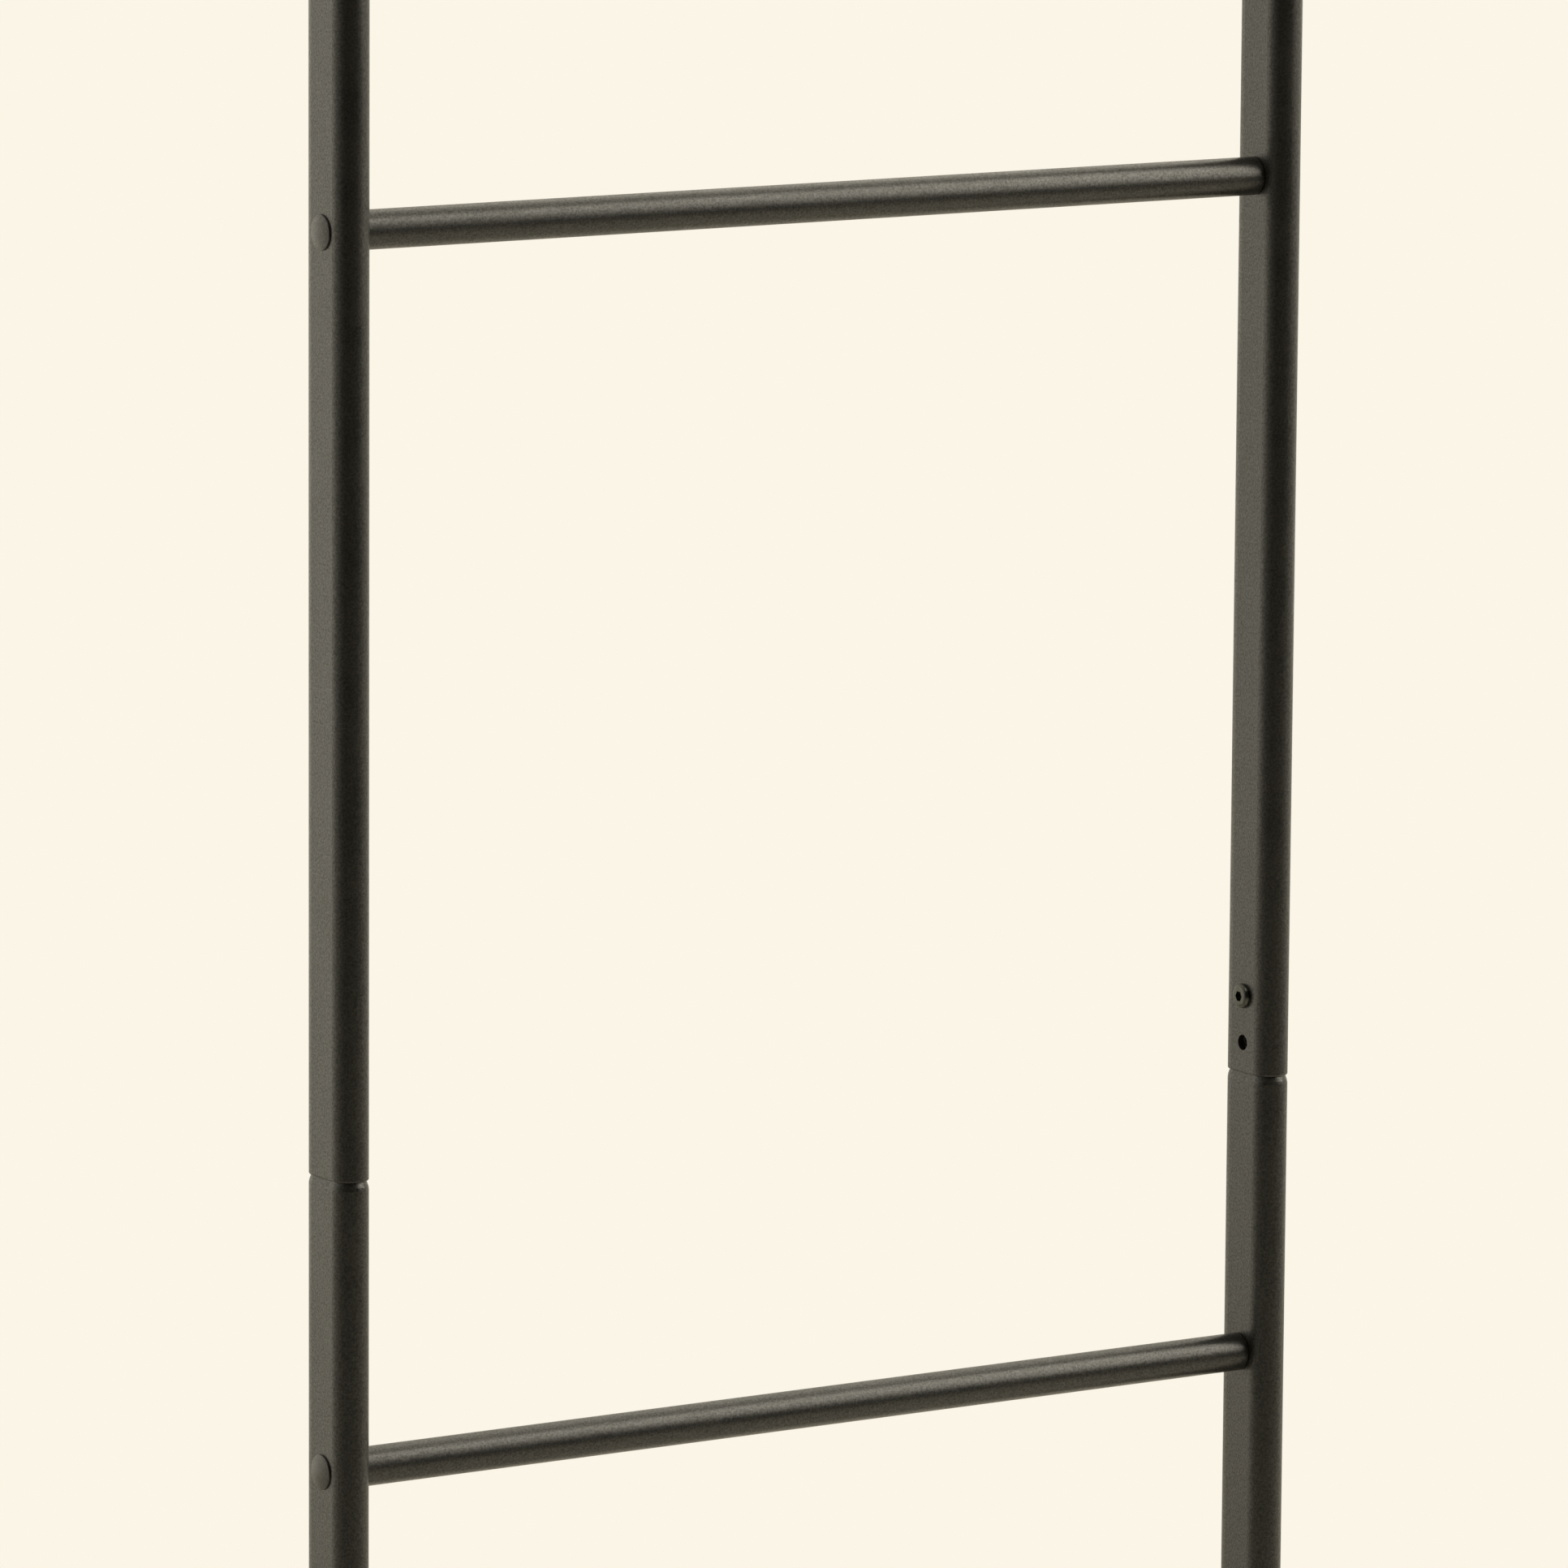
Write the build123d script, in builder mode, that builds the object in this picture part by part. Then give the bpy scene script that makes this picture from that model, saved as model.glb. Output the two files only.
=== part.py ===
from build123d import *

import os
from math import asin, atan, degrees

# Towel warmer rack: a free-standing ladder of two flat-oval steel rails and round heated rungs.
# Each rail is a lower section whose necked top plugs into an upper section.
# Millimetres, +Z up, X across the rack, -Y its front; the origin is on the floor, midway
# between the rails.

# ------------------------------------------------------------------ driving sizes

# Rails, a flat-oval tube with its flats facing sideways
rail_spacing = 450.0  # centre to centre
rail_depth = 32.0  # front to back
rail_width = 16.0  # across the two flats
rail_wall = 1.5
rail_overhang = 68.0  # rail above the top rung's axis

# Rungs, a round tube between the rails' inner flats
rung_count = 4
rung_pitch = 500.0
first_rung_height = 180.0
rung_diameter = 16.0
rung_wall = 1.2
rung_end_round = 0.6

# Joint between the two sections of a rail
lower_rung_count = 2  # rungs carried by the lower sections
joint_rise = 120.0  # joint above the lower sections' top rung
joint_edge_round = 0.8  # outer edge of the upper section's end
shoulder_height = 2.8  # drawn-in shoulder below the joint
shoulder_inset = 1.0
shoulder_blend = 4.0  # radius between the tube and its shoulder
neck_length = 60.0
neck_gap = 0.15  # play between the neck and the upper section
neck_lead = 0.8  # chamfer at the neck's end
joint_hole_rise = 13.0  # lower, unused hole above the joint
joint_hole_pitch = 20.0

# Machine screws, M6
screw_diameter = 6.0
screw_hole = 6.6
thread_play = 0.05
button_head_diameter = 10.5
button_head_height = 2.4
button_head_round = 1.8
button_hex = 4.0
button_hex_depth = 1.8
button_screw_length = 11.0
nut_across_flats = 10.0
nut_height = 5.0

# Rung fixings, inside the rails
insert_length = 20.0
insert_gap = 0.05
socket_head_diameter = 10.0
socket_head_height = 6.0
socket_hex = 5.0
socket_hex_depth = 3.0
rung_screw_reach = 18.5  # thread inside the rung's insert
hollow_screw_inset = 1.8  # insert wall outside the hollow screw
hollow_screw_wall = 1.5
hollow_head_lip = 0.9
hollow_head_height = 2.5
slot_width = 1.6
slot_depth = 1.1

# Cover caps over the access holes in the rails' outer flats
access_hole_gap = 0.4  # around the largest fixing head
cap_lip = 0.9  # cap beyond the hole
cap_edge_height = 0.7
cap_edge_round = 0.3
cap_crown = 1.0  # dome above the edge
cap_stem_depth = 3.0
cap_stem_gap = 0.1
cap_stem_wall = 1.2

# Top caps of the rails
top_cap_thickness = 2.0
top_cap_round = 1.3
top_cap_plug_depth = 12.0
top_cap_plug_wall = 1.6
top_cap_gap = 0.1

# Feet
foot_length = 360.0
foot_width = 40.0
foot_thickness = 6.0
foot_edge_round = 1.5
pad_diameter = 28.0
pad_height = 3.0
pad_inset = 30.0  # pad's centre from the foot's end
pad_edge_round = 0.6
spigot_height = 50.0
spigot_gap = 0.15
foot_screw_rise = 25.0  # cross screw above the foot
plate_screw_spread = 16.0  # between the two screws under a rail
plate_screw_head = 12.0
plate_screw_length = 20.0
plate_screw_hex_depth = 2.0
plate_hole_spare = 2.0  # tapped hole past the screw's end
countersink_angle = 90.0

# Heaters and wiring
heater_air_gap = 2.8  # between a heater and its rung
heater_end_gap = 12.0  # heater's end to the rung's insert
heater_spacer_length = 6.0
heater_spacer_inset = 40.0
lead_diameter = 3.0
lead_bend = 3.5
loom_diameter = 4.0
loom_wall_gap = 1.85  # loom to the neck's inner wall
loom_tail = 4.0  # loom past the last heater's lead
lead_to_loom_gap = 0.1
plug_rise = 10.0  # connector above the neck
plug_length = 20.0
plug_width = 7.0
plug_depth = 9.0
plug_round = 1.0
plug_offset = 1.0  # connector's centre in front of the loom's

# Control unit in the right rail's outer flat
control_height = 430.0
control_body_length = 90.0
control_body_gap = 0.4
control_slot_length = 43.0
bezel_lip_length = 1.5
bezel_lip_side = 1.1
recess_gap = 0.5  # housing's recess around the slot
bezel_thickness = 1.4
bezel_round = 0.7
skirt_gap = 0.2
skirt_reach = 0.5  # skirt past the rail's wall
button_diameter = 10.0
button_play = 0.08
button_travel = 1.5
button_reserve = 0.3  # button above its bezel when fully pressed
button_flange = 1.0
flange_gap = 0.4  # flange to the slot's sides
button_dish = 0.3
button_edge_round = 0.5
button_offset = 8.0  # above the control unit's centre
rest_gap = 0.1  # flange to skirt when released
press_gap = 0.3  # flange to switch when fully pressed
switch_diameter = 4.0
switch_height = 1.6
lamp_diameter = 3.0
lamp_play = 0.05
lamp_offset = -13.0
lamp_flange = 0.7
lamp_proud = 0.4

# Cord gland in the right rail's outer flat
gland_rise = 86.0  # above the foot
gland_bore = 7.0
gland_wall = 2.5
gland_gap = 0.1
gland_flange_diameter = 15.0
gland_flange_thickness = 2.5
gland_nose_length = 7.0
gland_nose_wall = 1.4
gland_tail = 5.0
gland_lip = 0.6
gland_lip_length = 2.0

# ------------------------------------------------------------------ derived sizes

SIDES = ((-1, "left"), (1, "right"))

rail_x = rail_spacing / 2
inner_flat = rail_x - rail_width / 2
outer_flat = rail_x + rail_width / 2
cavity_depth = rail_depth - 2 * rail_wall
cavity_width = rail_width - 2 * rail_wall
inner_wall_face = inner_flat + rail_wall
outer_wall_face = outer_flat - rail_wall

foot_top = pad_height + foot_thickness
rung_heights = [first_rung_height + rung_pitch * n for n in range(rung_count)]
joint_height = rung_heights[lower_rung_count - 1] + joint_rise
rail_top = rung_heights[-1] + rail_overhang
lower_rungs = rung_heights[:lower_rung_count]
upper_rungs = rung_heights[lower_rung_count:]

rung_length = 2 * inner_flat
rung_bore = rung_diameter - 2 * rung_wall

neck_depth = cavity_depth - 2 * neck_gap
neck_width = cavity_width - 2 * neck_gap
neck_cavity_depth = neck_depth - 2 * rail_wall
neck_cavity_width = neck_width - 2 * rail_wall
neck_top = joint_height + neck_length
shoulder_bottom = joint_height - shoulder_height
shoulder_taper = degrees(atan(shoulder_inset / shoulder_height))
joint_holes = [joint_height + joint_hole_rise + joint_hole_pitch * n for n in range(2)]
button_screws = (("joint", joint_holes[-1]), ("foot", foot_top + foot_screw_rise))
nut_face = rail_x - neck_cavity_width / 2

tapped_hole = screw_diameter + 2 * thread_play
hollow_screw_diameter = rung_bore - 2 * hollow_screw_inset
hollow_screw_bore = hollow_screw_diameter - 2 * hollow_screw_wall
hollow_head_diameter = hollow_screw_diameter + 2 * hollow_head_lip
access_hole = hollow_head_diameter + 2 * access_hole_gap
cap_diameter = access_hole + 2 * cap_lip

pad_y = foot_length / 2 - pad_inset

heater_diameter = rung_bore - 2 * heater_air_gap
heater_length = rung_length - 2 * (insert_length + heater_end_gap)
loom_y = neck_cavity_depth / 2 - loom_wall_gap - loom_diameter / 2
plug_bottom = neck_top + plug_rise
plug_middle = plug_bottom + plug_length
plug_top = plug_middle + plug_length
plug_y = loom_y - plug_offset

control_bottom = control_height - control_body_length / 2
control_top = control_height + control_body_length / 2
control_slot_width = button_diameter + 2 * (button_flange + flange_gap)
bezel_length = control_slot_length + 2 * bezel_lip_length
bezel_width = control_slot_width + 2 * bezel_lip_side
bezel_face = outer_flat + bezel_thickness
skirt_face = outer_wall_face - skirt_reach
flange_top = skirt_face - rest_gap
flange_bottom = flange_top - button_flange
switch_top = flange_bottom - button_travel - press_gap
button_face = bezel_face + button_travel + button_reserve
button_height = control_height + button_offset
lamp_height = control_height + lamp_offset

gland_height = foot_top + gland_rise
gland_diameter = gland_bore + 2 * gland_wall

os.makedirs("parts", exist_ok=True)


# ------------------------------------------------------------------ shared helpers


def save(builder, name):
    """Labels a finished piece and writes it to its own file."""
    builder.part.label = name
    export_step(builder.part, f"parts/{name}.step")


def outward_plane(side, x, z, y=0.0):
    """Plane facing away from the rack's middle, at a distance x from it."""
    return Plane(origin=(side * x, y, z), x_dir=(0, 1, 0), z_dir=(side, 0, 0))


def inward_plane(side, x, z, y=0.0):
    """Plane facing the rack's middle, at a distance x from it."""
    return Plane(origin=(side * x, y, z), x_dir=(0, 1, 0), z_dir=(-side, 0, 0))


def turning_plane(side, x, z):
    """Plane for turned profiles: its first axis is the radius, its second points outwards."""
    return Plane(origin=(side * x, 0, z), x_dir=(0, 1, 0), z_dir=(0, 0, -side))


def cross_axis(z):
    """Axis across the rack, through both rails, at a height z."""
    return Axis((0, 0, z), (1, 0, 0))


def crown_arc(rim_radius, rim_height, crown):
    """Arc of a shallow dome or dish, between its rim and the turning axis."""
    sphere = (rim_radius**2 + crown**2) / (2 * abs(crown))
    spread = degrees(asin(rim_radius / sphere))
    if crown > 0:
        CenterArc((0, rim_height + crown - sphere), sphere, 90 - spread, spread)
    else:
        CenterArc((0, rim_height + crown + sphere), sphere, -90, spread)


def rail_plane(side, z):
    """Level plane centred on a rail."""
    return Plane(origin=(side * rail_x, 0, z))


def cut_wall(plane, diameter):
    """Cuts a round hole from a rail's middle out through the wall that the plane faces."""
    with BuildSketch(plane) as hole:
        Circle(diameter / 2)
    extrude(hole.sketch, amount=rail_width, mode=Mode.SUBTRACT)


def cut_rung_seat(side, z):
    """Cuts a rung's fixing hole in the inner flat and its access hole in the outer flat."""
    fixing_hole = screw_hole if side < 0 else hollow_screw_diameter + 2 * thread_play
    cut_wall(inward_plane(side, rail_x, z), fixing_hole)
    cut_wall(outward_plane(side, rail_x, z), access_hole)


# ------------------------------------------------------------------ rails

for side, name in SIDES:
    # Upper section: open tube with rung seats, the joint's screw hole and its unused hole.
    with BuildPart() as upper_rail:
        with BuildSketch(rail_plane(side, joint_height)) as upper_section:
            SlotOverall(rail_depth, rail_width, rotation=90)
            SlotOverall(cavity_depth, cavity_width, rotation=90, mode=Mode.SUBTRACT)
        extrude(amount=rail_top - joint_height)
        joint_end = upper_rail.faces().sort_by(Axis.Z)[0]
        fillet(joint_end.outer_wire().edges(), radius=joint_edge_round)
        for z in upper_rungs:
            cut_rung_seat(side, z)
        for z in joint_holes:
            cut_wall(inward_plane(side, rail_x, z), screw_hole)
    save(upper_rail, f"upper_rail_{name}")

    # Lower section: the tube is drawn in to a tapered shoulder and a neck at its top.
    with BuildPart() as lower_rail:
        with BuildSketch(rail_plane(side, foot_top)) as lower_section:
            SlotOverall(rail_depth, rail_width, rotation=90)
        extrude(amount=shoulder_bottom - foot_top)
        with BuildSketch(rail_plane(side, shoulder_bottom)) as shoulder_section:
            SlotOverall(rail_depth, rail_width, rotation=90)
        extrude(amount=shoulder_height, taper=shoulder_taper)
        shoulder_ring = lower_rail.edges().filter_by_position(
            Axis.Z, shoulder_bottom, shoulder_bottom
        )
        fillet(shoulder_ring, radius=shoulder_blend)
        with BuildSketch(rail_plane(side, shoulder_bottom)) as neck_section:
            SlotOverall(neck_depth, neck_width, rotation=90)
        extrude(amount=neck_top - shoulder_bottom)
        chamfer(lower_rail.edges().group_by(Axis.Z)[-1], length=neck_lead)
        with BuildSketch(rail_plane(side, foot_top)) as lower_cavity:
            SlotOverall(cavity_depth, cavity_width, rotation=90)
        extrude(amount=shoulder_bottom - foot_top, mode=Mode.SUBTRACT)
        with BuildSketch(rail_plane(side, shoulder_bottom)) as neck_cavity:
            SlotOverall(neck_cavity_depth, neck_cavity_width, rotation=90)
        extrude(amount=neck_top - shoulder_bottom, mode=Mode.SUBTRACT)
        for z in lower_rungs:
            cut_rung_seat(side, z)
        for z in joint_holes:
            cut_wall(inward_plane(side, rail_x, z), screw_hole)
        cut_wall(inward_plane(side, rail_x, foot_top + foot_screw_rise), screw_hole)
        if side > 0:
            with BuildSketch(outward_plane(side, rail_x, control_height)) as control_slot:
                SlotOverall(control_slot_length, control_slot_width, rotation=90)
            extrude(amount=rail_width, mode=Mode.SUBTRACT)
            cut_wall(outward_plane(side, rail_x, gland_height), gland_diameter + 2 * gland_gap)
    save(lower_rail, f"lower_rail_{name}")

    # Top cap: a lid as wide as the rail, with a hollow plug inside it.
    with BuildPart() as top_cap:
        with BuildSketch(rail_plane(side, rail_top)) as lid:
            SlotOverall(rail_depth, rail_width, rotation=90)
        extrude(amount=top_cap_thickness)
        fillet(top_cap.edges().group_by(Axis.Z)[-1], radius=top_cap_round)
        with BuildSketch(rail_plane(side, rail_top)) as lid_plug:
            SlotOverall(cavity_depth - 2 * top_cap_gap, cavity_width - 2 * top_cap_gap, rotation=90)
            SlotOverall(
                cavity_depth - 2 * top_cap_gap - 2 * top_cap_plug_wall,
                cavity_width - 2 * top_cap_gap - 2 * top_cap_plug_wall,
                rotation=90,
                mode=Mode.SUBTRACT,
            )
        extrude(amount=-top_cap_plug_depth)
    save(top_cap, f"top_cap_{name}")

# ------------------------------------------------------------------ joint fixings

for side, name in SIDES:
    # Button-head screws through the inner flat: one into the upper of the neck's two nuts,
    # one into the foot's spigot.
    for place, z in button_screws:
        with BuildPart() as button_screw:
            with BuildSketch(inward_plane(side, inner_flat, z)) as button_head:
                Circle(button_head_diameter / 2)
            extrude(amount=button_head_height)
            head_top = button_screw.faces().sort_by(Axis.X)[0 if side > 0 else -1]
            fillet(head_top.edges(), radius=button_head_round)
            with BuildSketch(inward_plane(side, inner_flat, z)) as button_shank:
                Circle(screw_diameter / 2)
            extrude(amount=-button_screw_length)
            with BuildSketch(inward_plane(side, inner_flat - button_head_height, z)) as socket:
                RegularPolygon(button_hex / 2, 6, major_radius=False)
            extrude(amount=-button_hex_depth, mode=Mode.SUBTRACT)
        save(button_screw, f"{place}_screw_{name}")

    # Two hexagon nuts welded behind the neck's holes.
    with BuildPart() as joint_nuts:
        for z in joint_holes:
            with BuildSketch(outward_plane(side, nut_face, z)) as nut_section:
                RegularPolygon(nut_across_flats / 2, 6, major_radius=False)
                Circle(tapped_hole / 2, mode=Mode.SUBTRACT)
            extrude(amount=nut_height)
    save(joint_nuts, f"joint_nuts_{name}")

# ------------------------------------------------------------------ rungs, heaters and fixings

for number, z in enumerate(rung_heights, start=1):
    # Rung tube, its ends slightly rounded, flat against both rails.
    with BuildPart() as rung:
        with BuildSketch(outward_plane(1, -inner_flat, z)) as rung_section:
            Circle(rung_diameter / 2)
        extrude(amount=rung_length)
        fillet(rung.edges().filter_by(GeomType.CIRCLE), radius=rung_end_round)
        with BuildSketch(outward_plane(1, -inner_flat, z)) as rung_hollow:
            Circle(rung_bore / 2)
        extrude(amount=rung_length, mode=Mode.SUBTRACT)
    save(rung, f"rung_{number}")

    # Threaded plugs pressed into both ends of the rung.
    with BuildPart() as rung_inserts:
        for side, thread in ((-1, screw_diameter), (1, hollow_screw_diameter)):
            with BuildSketch(inward_plane(side, inner_flat, z)) as insert_section:
                Circle(rung_bore / 2 - insert_gap)
                Circle(thread / 2 + thread_play, mode=Mode.SUBTRACT)
            extrude(amount=insert_length)
    save(rung_inserts, f"rung_inserts_{number}")

    # Left fixing: a socket-head screw inside the left rail.
    with BuildPart() as rung_screw:
        with BuildSketch(outward_plane(-1, inner_wall_face, z)) as rung_screw_head:
            Circle(socket_head_diameter / 2)
        extrude(amount=socket_head_height)
        with BuildSketch(outward_plane(-1, inner_wall_face, z)) as rung_screw_shank:
            Circle(screw_diameter / 2)
        extrude(amount=-(rail_wall + rung_screw_reach))
        with BuildSketch(
            outward_plane(-1, inner_wall_face + socket_head_height, z)
        ) as rung_screw_socket:
            RegularPolygon(socket_hex / 2, 6, major_radius=False)
        extrude(amount=-socket_hex_depth, mode=Mode.SUBTRACT)
    save(rung_screw, f"rung_screw_{number}")

    # Right fixing: a hollow slotted screw that lets the heater's lead into the right rail.
    with BuildPart() as hollow_screw:
        with BuildSketch(outward_plane(1, inner_wall_face, z)) as hollow_head:
            Circle(hollow_head_diameter / 2)
        extrude(amount=hollow_head_height)
        with BuildSketch(outward_plane(1, inner_wall_face, z)) as hollow_shank:
            Circle(hollow_screw_diameter / 2)
        extrude(amount=-(rail_wall + rung_screw_reach))
        with BuildSketch(outward_plane(1, inner_wall_face + hollow_head_height, z)) as hollow_cut:
            Circle(hollow_screw_bore / 2)
        extrude(amount=-(hollow_head_height + rail_wall + rung_screw_reach), mode=Mode.SUBTRACT)
        with BuildSketch(outward_plane(1, inner_wall_face + hollow_head_height, z)) as slot_cut:
            Rectangle(slot_width, hollow_head_diameter + 1)
        extrude(amount=-slot_depth, mode=Mode.SUBTRACT)
    save(hollow_screw, f"hollow_screw_{number}")

    # Heater rod on two spacer rings, with its lead turned back inside the right rail.
    with BuildPart() as heater:
        with BuildSketch(outward_plane(1, -heater_length / 2, z)) as heater_section:
            Circle(heater_diameter / 2)
        extrude(amount=heater_length)
        spacer_x = heater_length / 2 - heater_spacer_inset
        for x in (-spacer_x, spacer_x):
            with BuildSketch(outward_plane(1, x - heater_spacer_length / 2, z)) as spacer:
                Circle(rung_bore / 2 - insert_gap)
            extrude(amount=heater_spacer_length)
        with BuildLine() as lead_route:
            FilletPolyline(
                (heater_length / 2, 0, z),
                (rail_x, 0, z),
                (rail_x, loom_y - loom_diameter / 2 - lead_to_loom_gap, z),
                radius=lead_bend,
            )
        with BuildSketch(outward_plane(1, heater_length / 2, z)) as lead_section:
            Circle(lead_diameter / 2)
        sweep(path=lead_route.line)
    save(heater, f"heater_{number}")

    # Cover caps, low domes with a hollow stem in the access hole.
    for side, name in SIDES:
        with BuildPart() as cover_cap:
            with BuildSketch(turning_plane(side, outer_flat, z)) as cap_profile:
                with BuildLine() as cap_outline:
                    stem_outer = access_hole / 2 - cap_stem_gap
                    Polyline(
                        (0, 0),
                        (stem_outer - cap_stem_wall, 0),
                        (stem_outer - cap_stem_wall, -cap_stem_depth),
                        (stem_outer, -cap_stem_depth),
                        (stem_outer, 0),
                        (cap_diameter / 2, 0),
                        (cap_diameter / 2, cap_edge_height),
                    )
                    crown_arc(cap_diameter / 2, cap_edge_height, cap_crown)
                    Line((0, cap_edge_height + cap_crown), (0, 0))
                make_face()
                rim_corner = cap_profile.vertices().group_by(Axis.X)[-1].sort_by(Axis.Y)[-1]
                fillet(rim_corner, radius=cap_edge_round)
            revolve(axis=cross_axis(z))
        save(cover_cap, f"cover_cap_{name}_{number}")

# ------------------------------------------------------------------ feet

for side, name in SIDES:
    # Foot: a flat bar, front to back under the rail, with two countersunk holes.
    with BuildPart() as foot:
        with BuildSketch(rail_plane(side, pad_height)) as foot_outline:
            SlotOverall(foot_length, foot_width, rotation=90)
        extrude(amount=foot_thickness)
        fillet(foot.edges().group_by(Axis.Z)[-1], radius=foot_edge_round)
        underside = Plane(origin=(side * rail_x, 0, pad_height), z_dir=(0, 0, -1))
        with Locations(underside.location):
            with GridLocations(0, plate_screw_spread, 1, 2):
                CounterSinkHole(
                    screw_hole / 2,
                    plate_screw_head / 2 + thread_play,
                    counter_sink_angle=countersink_angle,
                )
    save(foot, f"foot_{name}")

    # Spigot: the solid core that stands on the foot inside the rail.
    with BuildPart() as spigot:
        with BuildSketch(rail_plane(side, foot_top)) as spigot_section:
            SlotOverall(cavity_depth - 2 * spigot_gap, cavity_width - 2 * spigot_gap, rotation=90)
        extrude(amount=spigot_height)
        with BuildSketch(rail_plane(side, foot_top)) as spigot_holes:
            with GridLocations(0, plate_screw_spread, 1, 2):
                Circle(tapped_hole / 2)
        extrude(
            amount=plate_screw_length - foot_thickness + plate_hole_spare, mode=Mode.SUBTRACT
        )
        cut_wall(inward_plane(side, outer_flat, foot_top + foot_screw_rise), tapped_hole)
    save(spigot, f"spigot_{name}")

    # Countersunk screws from below the foot into the spigot.
    with BuildPart() as foot_plate_screws:
        cone = (plate_screw_head - screw_diameter) / 2
        for y in (-plate_screw_spread / 2, plate_screw_spread / 2):
            screw_base = Plane(origin=(side * rail_x, y, pad_height), x_dir=(1, 0, 0), z_dir=(0, -1, 0))
            with BuildSketch(screw_base) as plate_screw_profile:
                Polygon(
                    (0, 0),
                    (plate_screw_head / 2, 0),
                    (screw_diameter / 2, cone),
                    (screw_diameter / 2, plate_screw_length),
                    (0, plate_screw_length),
                    align=None,
                )
            revolve(axis=Axis((side * rail_x, y, 0), (0, 0, 1)))
        with BuildSketch(rail_plane(side, pad_height)) as plate_screw_sockets:
            with GridLocations(0, plate_screw_spread, 1, 2):
                RegularPolygon(button_hex / 2, 6, major_radius=False)
        extrude(amount=plate_screw_hex_depth, mode=Mode.SUBTRACT)
    save(foot_plate_screws, f"foot_plate_screws_{name}")

    # Rubber pads under the foot's two ends.
    for y, place in ((-pad_y, "front"), (pad_y, "back")):
        with BuildPart() as foot_pad:
            with BuildSketch(Plane(origin=(side * rail_x, y, 0))) as pad_section:
                Circle(pad_diameter / 2)
            extrude(amount=pad_height)
            fillet(foot_pad.edges().group_by(Axis.Z)[0], radius=pad_edge_round)
        save(foot_pad, f"foot_pad_{name}_{place}")

# ------------------------------------------------------------------ wiring in the right rail

# Wire bundle of the upper rungs, down to the connector above the joint.
with BuildPart() as loom_upper:
    with BuildSketch(Plane(origin=(rail_x, loom_y, plug_top))) as loom_upper_section:
        Circle(loom_diameter / 2)
    extrude(amount=upper_rungs[-1] + loom_tail - plug_top)
save(loom_upper, "loom_upper")

# Wire bundles from the connector to the control unit, and from there to the lowest rung.
with BuildPart() as loom_lower:
    with BuildSketch(Plane(origin=(rail_x, loom_y, control_top))) as loom_middle_section:
        Circle(loom_diameter / 2)
    extrude(amount=plug_bottom - control_top)
    with BuildSketch(Plane(origin=(rail_x, loom_y, control_bottom))) as loom_base_section:
        Circle(loom_diameter / 2)
    extrude(amount=lower_rungs[0] - loom_tail - control_bottom)
save(loom_lower, "loom_lower")

# Connector halves, end to end: the socket comes up through the neck, the plug hangs above it.
with BuildPart() as loom_socket:
    with BuildSketch(Plane(origin=(rail_x, plug_y, plug_bottom))) as socket_section:
        RectangleRounded(plug_width, plug_depth, plug_round)
    extrude(amount=plug_length)
save(loom_socket, "loom_socket")

with BuildPart() as loom_plug:
    with BuildSketch(Plane(origin=(rail_x, plug_y, plug_middle))) as plug_section:
        RectangleRounded(plug_width, plug_depth, plug_round)
    extrude(amount=plug_length)
save(loom_plug, "loom_plug")

# ------------------------------------------------------------------ control unit

# Housing inside the rail, with a recess behind the bezel and the switch's plunger in it.
with BuildPart() as control_housing:
    with BuildSketch(rail_plane(1, control_bottom)) as housing_section:
        SlotOverall(
            cavity_depth - 2 * control_body_gap, cavity_width - 2 * control_body_gap, rotation=90
        )
    extrude(amount=control_body_length)
    with BuildSketch(outward_plane(1, switch_top - switch_height, control_height)) as recess:
        SlotOverall(
            control_slot_length + 2 * recess_gap, control_slot_width + 2 * recess_gap, rotation=90
        )
    extrude(amount=rail_width, mode=Mode.SUBTRACT)
    with BuildSketch(outward_plane(1, switch_top, button_height)) as plunger:
        Circle(switch_diameter / 2)
    extrude(amount=-switch_height)
save(control_housing, "control_housing")

# Bezel: a plate on the outer flat with a skirt in the rail's slot.
with BuildPart() as control_bezel:
    with BuildSketch(outward_plane(1, outer_flat, control_height)) as bezel_outline:
        SlotOverall(bezel_length, bezel_width, rotation=90)
    extrude(amount=bezel_thickness)
    fillet(control_bezel.faces().sort_by(Axis.X)[-1].edges(), radius=bezel_round)
    with BuildSketch(outward_plane(1, outer_flat, control_height)) as skirt_outline:
        SlotOverall(
            control_slot_length - 2 * skirt_gap, control_slot_width - 2 * skirt_gap, rotation=90
        )
    extrude(amount=-(outer_flat - skirt_face))
    with BuildSketch(outward_plane(1, rail_x, button_height)) as button_bore:
        Circle(button_diameter / 2 + button_play)
    extrude(amount=rail_width, mode=Mode.SUBTRACT)
    with BuildSketch(outward_plane(1, rail_x, lamp_height)) as lamp_bore:
        Circle(lamp_diameter / 2 + lamp_play)
    extrude(amount=rail_width, mode=Mode.SUBTRACT)
save(control_bezel, "control_bezel")

# Push button: a dished cap on a flange that stops behind the bezel.
with BuildPart() as power_button:
    with BuildSketch(outward_plane(1, flange_bottom, button_height)) as flange_section:
        Circle(button_diameter / 2 + button_flange)
    extrude(amount=button_flange)
    with BuildSketch(outward_plane(1, flange_top, button_height)) as button_section:
        Circle(button_diameter / 2)
    extrude(amount=button_face - flange_top)
    fillet(power_button.faces().sort_by(Axis.X)[-1].edges(), radius=button_edge_round)
    with BuildSketch(turning_plane(1, button_face, button_height)) as dish_profile:
        dish_radius = button_diameter / 2 - 2 * button_edge_round
        with BuildLine() as dish_outline:
            crown_arc(dish_radius, 0, -button_dish)
            Polyline((dish_radius, 0), (0, 0), (0, -button_dish))
        make_face()
    revolve(axis=cross_axis(button_height), mode=Mode.SUBTRACT)
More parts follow.
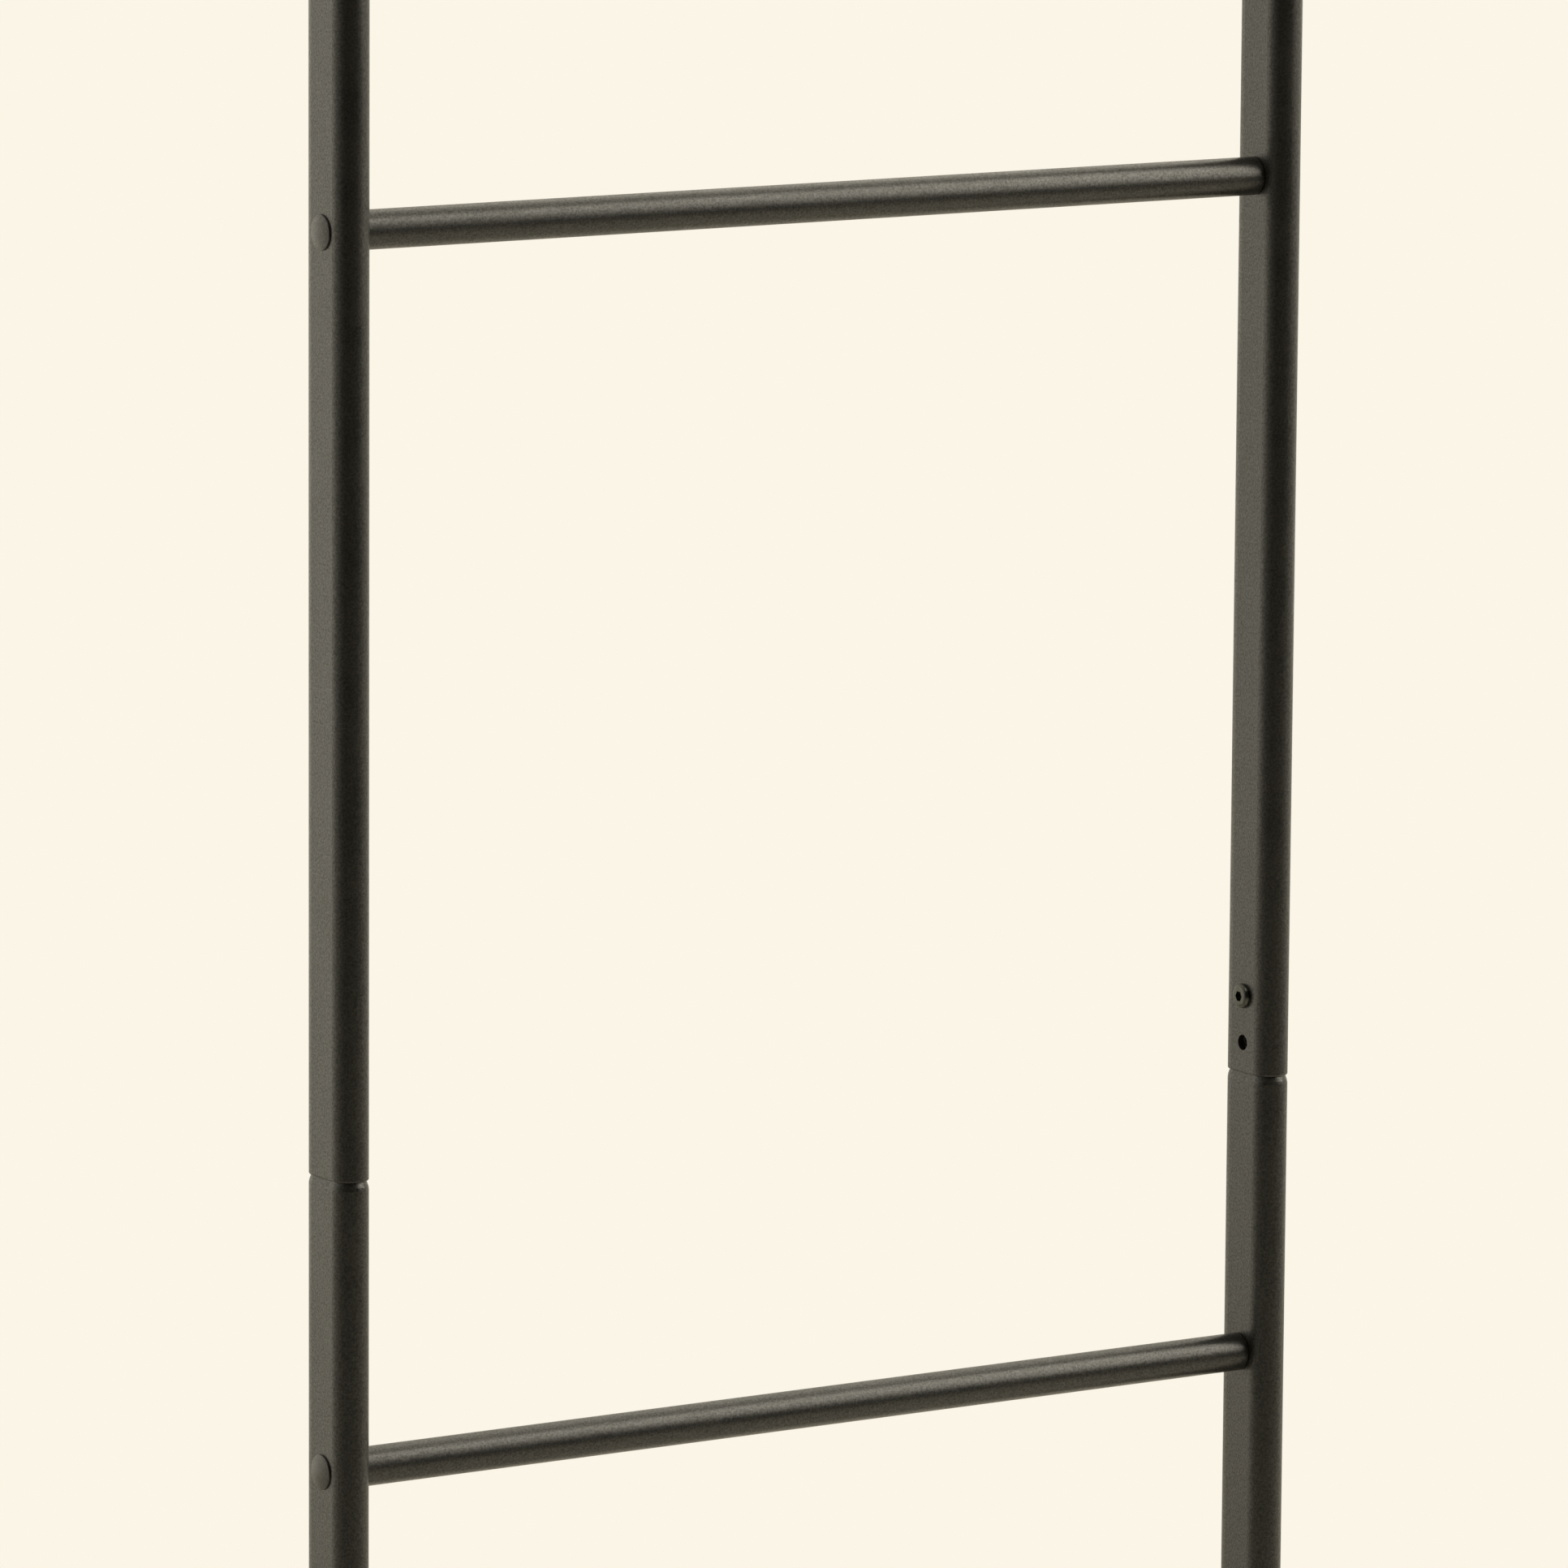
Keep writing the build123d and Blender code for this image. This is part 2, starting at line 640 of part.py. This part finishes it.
save(power_button, "power_button")

# Indicator lamp: a small lens with its flange behind the bezel.
with BuildPart() as indicator_lens:
    with BuildSketch(outward_plane(1, flange_top, lamp_height)) as lens_section:
        Circle(lamp_diameter / 2)
    extrude(amount=bezel_face + lamp_proud - flange_top)
    fillet(indicator_lens.faces().sort_by(Axis.X)[-1].edges(), radius=lamp_proud)
    with BuildSketch(outward_plane(1, flange_top, lamp_height)) as lens_flange:
        Circle(lamp_diameter / 2 + lamp_flange)
    extrude(amount=-lamp_flange)
save(indicator_lens, "indicator_lens")

# ------------------------------------------------------------------ cord gland

# Snap-in gland: a flange and tapered nose outside the rail, a snap lip inside it.
with BuildPart() as cord_gland:
    with BuildSketch(turning_plane(1, outer_flat, gland_height)) as gland_profile:
        Polygon(
            (gland_bore / 2, -gland_tail),
            (gland_diameter / 2, -gland_tail),
            (gland_diameter / 2 + gland_lip, -rail_wall - gland_lip_length),
            (gland_diameter / 2 + gland_lip, -rail_wall),
            (gland_diameter / 2, -rail_wall),
            (gland_diameter / 2, 0),
            (gland_flange_diameter / 2, 0),
            (gland_flange_diameter / 2, gland_flange_thickness),
            (gland_diameter / 2, gland_flange_thickness),
            (gland_bore / 2 + gland_nose_wall, gland_flange_thickness + gland_nose_length),
            (gland_bore / 2, gland_flange_thickness + gland_nose_length),
            align=None,
        )
    revolve(axis=cross_axis(gland_height))
save(cord_gland, "cord_gland")
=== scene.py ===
import math
import bmesh
import bpy
from mathutils import Matrix, Vector


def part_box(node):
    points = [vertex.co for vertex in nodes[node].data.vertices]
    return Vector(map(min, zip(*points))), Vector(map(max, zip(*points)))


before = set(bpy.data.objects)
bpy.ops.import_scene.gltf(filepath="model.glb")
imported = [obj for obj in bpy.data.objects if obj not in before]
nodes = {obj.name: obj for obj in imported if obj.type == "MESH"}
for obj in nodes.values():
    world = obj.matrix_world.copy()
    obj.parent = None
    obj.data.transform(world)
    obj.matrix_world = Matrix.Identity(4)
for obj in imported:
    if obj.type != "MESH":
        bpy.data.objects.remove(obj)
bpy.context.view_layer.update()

def middle(name):
    low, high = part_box(name)
    return (low + high) / 2


# ---------------------------------------------------------------- shader helpers

# A colour Mix node has several sockets of each name, so they are taken by number.
MIX_FACTOR, MIX_FIRST, MIX_SECOND, MIX_RESULT = 0, 6, 7, 2


def add(tree, kind, **values):
    """A shader node: properties by their names, inputs by name with _ for a space."""
    made = tree.nodes.new("ShaderNode" + kind)
    for name, value in values.items():
        socket = made.inputs.get(name.replace("_", " "))
        if socket is None:
            setattr(made, name, value)
        elif isinstance(value, bpy.types.NodeSocket):
            tree.links.new(value, socket)
        else:
            socket.default_value = value
    return made


def rgba(colour):
    return (*colour, 1.0)


def new_material(name):
    material = bpy.data.materials.new(name)
    material.use_nodes = True
    return material, material.node_tree, material.node_tree.nodes["Principled BSDF"]


def noise(tree, coords, grain, detail=2.0, roughness=0.5):
    """Noise whose cells are about grain metres across."""
    made = add(tree, "TexNoise", Vector=coords, Scale=1 / grain, Detail=detail, Roughness=roughness)
    return made.outputs["Fac"]


def spread(tree, value, low, high, start=0.3, end=0.7):
    """Low to high as the value goes smoothly from start to end."""
    made = add(tree, "MapRange", interpolation_type="SMOOTHSTEP", Value=value)
    for socket, number in zip(("From Min", "From Max", "To Min", "To Max"), (start, end, low, high)):
        made.inputs[socket].default_value = number
    return made.outputs["Result"]


def blend_colours(tree, factor, first, second):
    """First at 0 and second at 1. Each is a plain colour or a colour output."""
    made = add(tree, "Mix", data_type="RGBA")
    tree.links.new(factor, made.inputs[MIX_FACTOR])
    for number, colour in ((MIX_FIRST, first), (MIX_SECOND, second)):
        if isinstance(colour, bpy.types.NodeSocket):
            tree.links.new(colour, made.inputs[number])
        else:
            made.inputs[number].default_value = rgba(colour)
    return made.outputs[MIX_RESULT]


def bumps(tree, *layers):
    """Layers of (height output, depth in metres), the coarse one first, as one normal."""
    normal = None
    for height, depth in layers:
        made = add(tree, "Bump", Height=height, Strength=1.0, Distance=depth)
        if normal is not None:
            tree.links.new(normal, made.inputs["Normal"])
        normal = made.outputs["Normal"]
    return normal


def combine(tree, operation, first, second):
    made = add(tree, "Math", operation=operation)
    tree.links.new(first, made.inputs[0])
    tree.links.new(second, made.inputs[1])
    return made.outputs[0]


def stretched(tree, coords, scale):
    return add(tree, "Mapping", Vector=coords, Scale=scale).outputs["Vector"]


def set_shader(shader, **values):
    for name, value in values.items():
        shader.inputs[name.replace("_", " ")].default_value = value


# ---------------------------------------------------------------- finishes

SHADE_RANGE = (0.75, 1.25)
FILM_RANGE = (0.25, 0.75)
STREAK_WIDTH = 0.0004
STREAK_DEPTH = 0.00001
METAL_CLOUDS = 0.006


def grained(name, deep, pale, rough, grain, depth, mottle=0.018, wave=None, gloss=None, **constants):
    """A skin with fine grain: colour from deep to pale, roughness over a range, bump in metres.

    wave is the size and depth of a coarser bump. gloss is the range of a thin clear film's
    strength, which follows the grain.
    """
    material, tree, shader = new_material("finish_" + name)
    coords = add(tree, "TexCoord").outputs["Object"]
    fine = noise(tree, coords, grain, detail=4.0, roughness=0.7)
    broad = noise(tree, coords, mottle, detail=4.0, roughness=0.55)
    shade = spread(tree, combine(tree, "ADD", fine, broad), 0.0, 1.0, *SHADE_RANGE)
    tree.links.new(blend_colours(tree, shade, deep, pale), shader.inputs["Base Color"])
    tree.links.new(spread(tree, broad, *rough), shader.inputs["Roughness"])
    layers = [(fine, depth)]
    if wave:
        wave_size, wave_depth = wave
        layers.insert(0, (noise(tree, coords, wave_size, detail=1.0), wave_depth))
    skin = bumps(tree, *layers)
    tree.links.new(skin, shader.inputs["Normal"])
    if gloss:
        tree.links.new(spread(tree, fine, *gloss, *FILM_RANGE), shader.inputs["Coat Weight"])
        tree.links.new(skin, shader.inputs["Coat Normal"])
    set_shader(shader, **constants)
    return material


def drawn_metal(name, deep, pale, rough, along):
    """Bare metal with fine scratches drawn out along one axis."""
    material, tree, shader = new_material("finish_" + name)
    coords = add(tree, "TexCoord").outputs["Object"]
    streaks = noise(tree, stretched(tree, coords, along), STREAK_WIDTH, detail=3.0, roughness=0.65)
    broad = noise(tree, coords, METAL_CLOUDS, detail=3.0)
    colour = blend_colours(tree, spread(tree, broad, 0.0, 1.0), deep, pale)
    tree.links.new(colour, shader.inputs["Base Color"])
    tree.links.new(spread(tree, streaks, *rough), shader.inputs["Roughness"])
    tree.links.new(bumps(tree, (streaks, STREAK_DEPTH)), shader.inputs["Normal"])
    set_shader(shader, Metallic=1.0)
    return material


FINISHES = {
    "powder_coat": grained(
        "powder_coat", deep=(0.0065, 0.0060, 0.0048), pale=(0.0115, 0.0106, 0.0086),
        rough=(0.33, 0.40), grain=0.0009, depth=0.00003, wave=(0.0022, 0.00003), gloss=(0.0, 1.0),
        IOR=1.42, Coat_IOR=1.6, Coat_Roughness=0.35),
    "cap_plastic": grained(
        "cap_plastic", deep=(0.012, 0.011, 0.009), pale=(0.017, 0.0155, 0.0125),
        rough=(0.33, 0.39), grain=0.0008, depth=0.00003, gloss=(0.10, 0.80),
        IOR=1.42, Coat_IOR=1.6, Coat_Roughness=0.32),
    "top_cap": grained(
        "top_cap", deep=(0.014, 0.013, 0.0105), pale=(0.020, 0.0185, 0.015),
        rough=(0.55, 0.64), grain=0.0008, depth=0.00003, IOR=1.42),
    "screw_black": grained(
        "screw_black", deep=(0.066, 0.067, 0.061), pale=(0.108, 0.109, 0.099),
        rough=(0.24, 0.33), grain=0.0005, depth=0.00002, mottle=0.003, Metallic=1.0),
    "zinc_steel": drawn_metal(
        "zinc_steel", deep=(0.50, 0.50, 0.47), pale=(0.64, 0.63, 0.58),
        rough=(0.28, 0.42), along=(1.0, 1.0, 0.2)),
    "pad_rubber": grained(
        "pad_rubber", deep=(0.012, 0.012, 0.012), pale=(0.024, 0.024, 0.023),
        rough=(0.70, 0.85), grain=0.0007, depth=0.00006),
    "heater_sheath": drawn_metal(
        "heater_sheath", deep=(0.42, 0.41, 0.38), pale=(0.55, 0.54, 0.51),
        rough=(0.30, 0.45), along=(0.05, 1.0, 1.0)),
    "wire_jacket": grained(
        "wire_jacket", deep=(0.50, 0.49, 0.45), pale=(0.58, 0.57, 0.53),
        rough=(0.50, 0.60), grain=0.0008, depth=0.00002),
    "connector_plastic": grained(
        "connector_plastic", deep=(0.68, 0.66, 0.60), pale=(0.76, 0.75, 0.70),
        rough=(0.42, 0.52), grain=0.0009, depth=0.00001),
    "control_plastic": grained(
        "control_plastic", deep=(0.016, 0.016, 0.015), pale=(0.022, 0.022, 0.021),
        rough=(0.50, 0.60), grain=0.0006, depth=0.00002),
    "bezel_plastic": grained(
        "bezel_plastic", deep=(0.018, 0.017, 0.015), pale=(0.024, 0.023, 0.020),
        rough=(0.28, 0.34), grain=0.0005, depth=0.00001),
    "button_plastic": grained(
        "button_plastic", deep=(0.032, 0.031, 0.028), pale=(0.042, 0.041, 0.037),
        rough=(0.42, 0.50), grain=0.0004, depth=0.00001),
    "lamp_lens": grained(
        "lamp_lens", deep=(0.80, 0.22, 0.03), pale=(0.90, 0.32, 0.06),
        rough=(0.18, 0.26), grain=0.0006, depth=0.000005, Transmission_Weight=0.45, IOR=1.49),
    "gland_rubber": grained(
        "gland_rubber", deep=(0.014, 0.014, 0.014), pale=(0.024, 0.024, 0.023),
        rough=(0.62, 0.75), grain=0.0006, depth=0.00003),
}
# The record's slot names the finish. The top caps share a slot, but are less glossy.
for name, obj in nodes.items():
    for holder in obj.material_slots:
        finish = "top_cap" if name.startswith("top_cap") else holder.material.name
        holder.material = FINISHES[finish]


# ---------------------------------------------------------------- studio

CREAM = (0.9647, 0.9131, 0.7991)
WARM_LAMP = (1.0, 0.935, 0.79)

# The room is pale, and dark towards its front. The edges are cosines from that direction.
ROOM = (0.81, 0.757, 0.622)
FRONT_DARK = (0.040, 0.038, 0.031)
STUDIO_FRONT = Vector((-0.30, -0.954, 0.0))
FRONT_EDGES = (-0.20, 0.82)

# The floor's colour for the camera and for the light that bounces off it, and the share of
# shadow that it shows. It is lit out to LIT_FLOOR metres. Past PLAIN_FLOOR it is the backdrop's
# cream, and past MIRRORED_FLOOR reflections see the room in it.
FLOOR_SEEN = (0.88, 0.875, 0.86)
FLOOR_BOUNCE = (0.72, 0.695, 0.63)
SHADOW_HOLD = 0.70
FLOOR_RADIUS = 40.0
FLOOR_SIDES = 96
LIT_FLOOR = 1.1
PLAIN_FLOOR = 2.4
MIRRORED_FLOOR = 6.0
RACK_MIDDLE = (0.0, 0.0, 0.95)


def ray_is(tree, *kinds):
    """1 where the ray is any of these kinds."""
    path = add(tree, "LightPath")
    found = path.outputs[kinds[0]]
    for kind in kinds[1:]:
        found = combine(tree, "MAXIMUM", found, path.outputs[kind])
    return found


def room_colour(tree, direction):
    """Pale all round and dark at the studio's front, by the direction from the object."""
    unit = add(tree, "VectorMath", operation="NORMALIZE")
    tree.links.new(direction, unit.inputs[0])
    facing = add(tree, "VectorMath", operation="DOT_PRODUCT")
    tree.links.new(unit.outputs["Vector"], facing.inputs[0])
    facing.inputs[1].default_value = STUDIO_FRONT
    shade = spread(tree, facing.outputs["Value"], 0.0, 1.0, *FRONT_EDGES)
    return blend_colours(tree, shade, ROOM, FRONT_DARK)


def studio_world():
    """Cream all round for the camera. The light on the object comes from the room."""
    world = bpy.data.worlds.new("studio")
    world.use_nodes = True
    tree = world.node_tree
    shader, output = tree.nodes["Background"], tree.nodes["World Output"]
    room = room_colour(tree, add(tree, "TexCoord").outputs["Generated"])
    tree.links.new(room, shader.inputs["Color"])
    backdrop = add(tree, "Background", Color=rgba(CREAM))
    mix = add(tree, "MixShader")
    tree.links.new(ray_is(tree, "Is Camera Ray", "Is Transmission Ray"), mix.inputs[0])
    tree.links.new(shader.outputs[0], mix.inputs[1])
    tree.links.new(backdrop.outputs[0], mix.inputs[2])
    tree.links.new(mix.outputs[0], output.inputs["Surface"])
    bpy.context.scene.world = world


def softbox(name, centre, width, height, radiance, aim=RACK_MIDDLE):
    """A soft rectangular lamp of an even brightness, which the camera doesn't see."""
    lamp = bpy.data.lights.new(name, "AREA")
    lamp.shape, lamp.size, lamp.size_y = "RECTANGLE", width, height
    lamp.energy, lamp.color = math.pi * width * height * radiance, WARM_LAMP
    holder = bpy.data.objects.new(name, lamp)
    bpy.context.scene.collection.objects.link(holder)
    holder.location = centre
    holder.rotation_euler = (Vector(aim) - Vector(centre)).to_track_quat("-Z", "Y").to_euler()
    holder.visible_camera = False


def studio_floor():
    """A plain floor that takes the shadow near the object and fades into the backdrop's cream."""
    mesh = bpy.data.meshes.new("studio_floor")
    shape = bmesh.new()
    bmesh.ops.create_circle(shape, cap_ends=True, segments=FLOOR_SIDES, radius=FLOOR_RADIUS)
    shape.to_mesh(mesh)
    shape.free()
    floor = bpy.data.objects.new("studio_floor", mesh)
    bpy.context.scene.collection.objects.link(floor)
    material, tree, shader = new_material("studio_floor")
    coords = add(tree, "TexCoord").outputs["Object"]
    length = add(tree, "VectorMath", operation="LENGTH")
    tree.links.new(coords, length.inputs[0])
    distance = length.outputs["Value"]
    seen = combine(tree, "MULTIPLY", ray_is(tree, "Is Camera Ray", "Is Transmission Ray"),
                   spread(tree, distance, 1 - SHADOW_HOLD, 1.0, LIT_FLOOR, PLAIN_FLOOR))
    mirrored = combine(tree, "MULTIPLY", ray_is(tree, "Is Glossy Ray"),
                       spread(tree, distance, 0.0, 1.0, LIT_FLOOR, MIRRORED_FLOOR))
    tint = blend_colours(tree, ray_is(tree, "Is Glossy Ray"), CREAM, room_colour(tree, coords))
    glow = add(tree, "Emission", Color=tint)
    mix = add(tree, "MixShader")
    tree.links.new(combine(tree, "ADD", seen, mirrored), mix.inputs[0])
    tree.links.new(shader.outputs[0], mix.inputs[1])
    tree.links.new(glow.outputs[0], mix.inputs[2])
    tree.links.new(mix.outputs[0], tree.nodes["Material Output"].inputs["Surface"])
    skin = blend_colours(tree, ray_is(tree, "Is Camera Ray"), FLOOR_BOUNCE, FLOOR_SEEN)
    tree.links.new(skin, shader.inputs["Base Color"])
    set_shader(shader, Roughness=0.9, Specular_IOR_Level=0.1)
    mesh.materials.append(material)


studio_world()
studio_floor()
softbox("key_lamp", centre=(1.80, -1.25, 2.44), width=1.8, height=2.4, radiance=3.85)
softbox("side_lamp", centre=(-1.45, 2.1, 1.0), width=2.2, height=2.0, radiance=0.45,
        aim=(0.0, 0.0, 1.0))
softbox("back_lamp", centre=(1.54, 1.18, 2.97), width=1.8, height=1.8, radiance=0.65)
softbox("top_lamp", centre=(-0.35, -0.95, 3.0), width=0.7, height=0.7, radiance=3.0,
        aim=(0.1, 0.0, 0.95))


# ---------------------------------------------------------------- camera

# The camera fitted to the photo: its place from the middle of rung_3, and where it looks.
SENSOR = 36.0
LENS = 248.25
CAMERA_BACK = 4.37006
CAMERA_UP = 0.45825
CAMERA_SIDE = math.radians(33.023)
LOOK_SIDE = math.radians(32.867)
LOOK_DOWN = math.radians(9.067)
LOOK_ROLL = math.radians(0.386)


def make_camera():
    start = middle("rung_3")
    place = Vector((start.x - CAMERA_BACK * math.sin(CAMERA_SIDE),
                    start.y - CAMERA_BACK * math.cos(CAMERA_SIDE), start.z + CAMERA_UP))
    forward = Vector((math.sin(LOOK_SIDE) * math.cos(LOOK_DOWN),
                      math.cos(LOOK_SIDE) * math.cos(LOOK_DOWN), -math.sin(LOOK_DOWN)))
    level = Vector((math.cos(LOOK_SIDE), -math.sin(LOOK_SIDE), 0))
    upward = level.cross(forward)
    right = level * math.cos(LOOK_ROLL) + upward * math.sin(LOOK_ROLL)
    above = upward * math.cos(LOOK_ROLL) - level * math.sin(LOOK_ROLL)
    turned = Matrix((right, above, -forward)).transposed()
    lens = bpy.data.cameras.new("camera")
    lens.sensor_width, lens.lens = SENSOR, LENS
    holder = bpy.data.objects.new("camera", lens)
    bpy.context.scene.collection.objects.link(holder)
    holder.matrix_world = Matrix.Translation(place) @ turned.to_4x4()
    bpy.context.scene.camera = holder


make_camera()
bpy.context.scene.view_settings.view_transform = "Standard"
